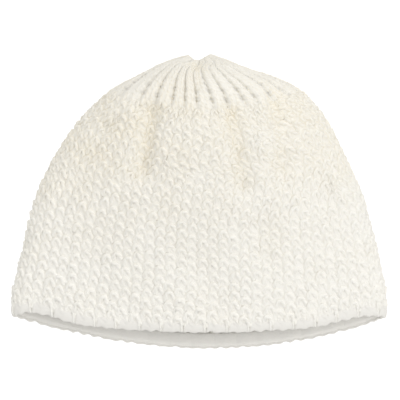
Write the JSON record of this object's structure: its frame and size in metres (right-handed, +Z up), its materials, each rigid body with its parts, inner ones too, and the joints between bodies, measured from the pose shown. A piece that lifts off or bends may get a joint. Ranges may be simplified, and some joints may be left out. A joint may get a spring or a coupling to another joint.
{
  "type": "knitted beanie",
  "caption": "Chunky knitted beanie lying flat on its back, with a plain hem band, a moss-stitch body and a ribbed crown gathered to a point.",
  "frame": {"origin": "middle of the beanie's box, on the surface that it lies on", "axes": "+X across the beanie from side fold to side fold, +Y from the hem to the crown, +Z up from the surface"},
  "size_m": [0.255, 0.1988, 0.0619],
  "materials": {
    "cream_yarn": "matt, soft plied yarn with a little fuzz"
  },
  "bodies": {
    "root": {"hem_band": "cream_yarn", "moss_stitch_body": "cream_yarn", "ribbed_crown": "cream_yarn"}
  },
  "joints": []
}
